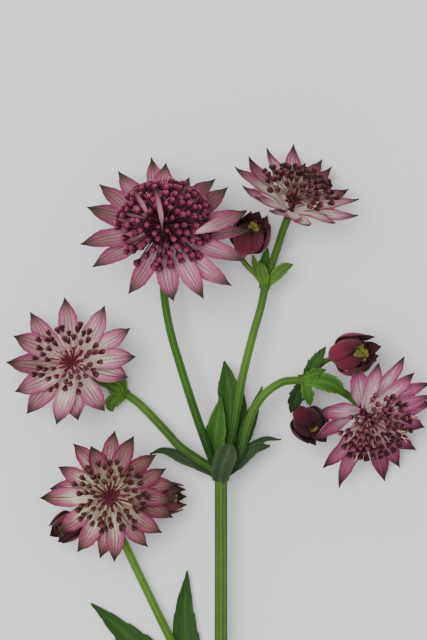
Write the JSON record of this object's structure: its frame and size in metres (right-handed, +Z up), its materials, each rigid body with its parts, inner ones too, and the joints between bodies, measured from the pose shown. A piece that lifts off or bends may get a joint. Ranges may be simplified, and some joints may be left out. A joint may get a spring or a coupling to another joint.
{
  "type": "great masterwort stem",
  "caption": "Cut flowering stem of great masterwort lying down, with pincushion blooms in stars of papery bracts, cupped buds and toothed leaves.",
  "frame": {"origin": "on the surface the stem lies on, under the middle of its outer box", "axes": "+Z up from the surface, +Y along the main stem from its cut end to the blooms, +X to the right seen from above"},
  "size_m": [0.1068, 0.1856, 0.0307],
  "materials": {
    "stem": "ribbed green plant stem, slightly waxy",
    "leaf": "matt green leaf with paler veins and toothed edge",
    "bract": "thin papery bract, mauve pink with pale middle, dark veins and dark green tip",
    "floret": "small maroon florets on pale stalks",
    "bud_bract": "dark maroon papery bract of an unopened head",
    "bud_floret": "yellow green unopened florets"
  },
  "bodies": {
    "root": {"stem_main": "stem", "stem_top_left": "stem", "stem_top_right": "stem", "stem_mid_right": "stem", "stem_mid_left": "stem", "stem_low_left": "stem", "stalk_bud_top": "stem", "stalk_bud_right": "stem", "stalk_bud_mid": "stem", "stalk_bud_low_left": "stem", "stalk_bud_low_right": "stem", "leaves_upper_node": "leaf", "leaves_right_fork": "leaf", "leaves_top_fork": "leaf", "leaves_left_fork": "leaf", "leaf_lower_node": "leaf", "bracts_top_left": "bract", "florets_top_left": "floret", "bracts_top_right": "bract", "florets_top_right": "floret", "bracts_mid_right": "bract", "florets_mid_right": "floret", "bracts_mid_left": "bract", "florets_mid_left": "floret", "bracts_low_left": "bract", "florets_low_left": "floret", "bud_bracts_top": "bud_bract", "bud_florets_top": "bud_floret", "bud_bracts_right": "bud_bract", "bud_florets_right": "bud_floret", "bud_bracts_mid": "bud_bract", "bud_florets_mid": "bud_floret", "bud_bracts_low_left": "bud_bract", "bud_florets_low_left": "bud_floret", "bud_bracts_low_right": "bud_bract", "bud_florets_low_right": "bud_floret"}
  },
  "joints": []
}
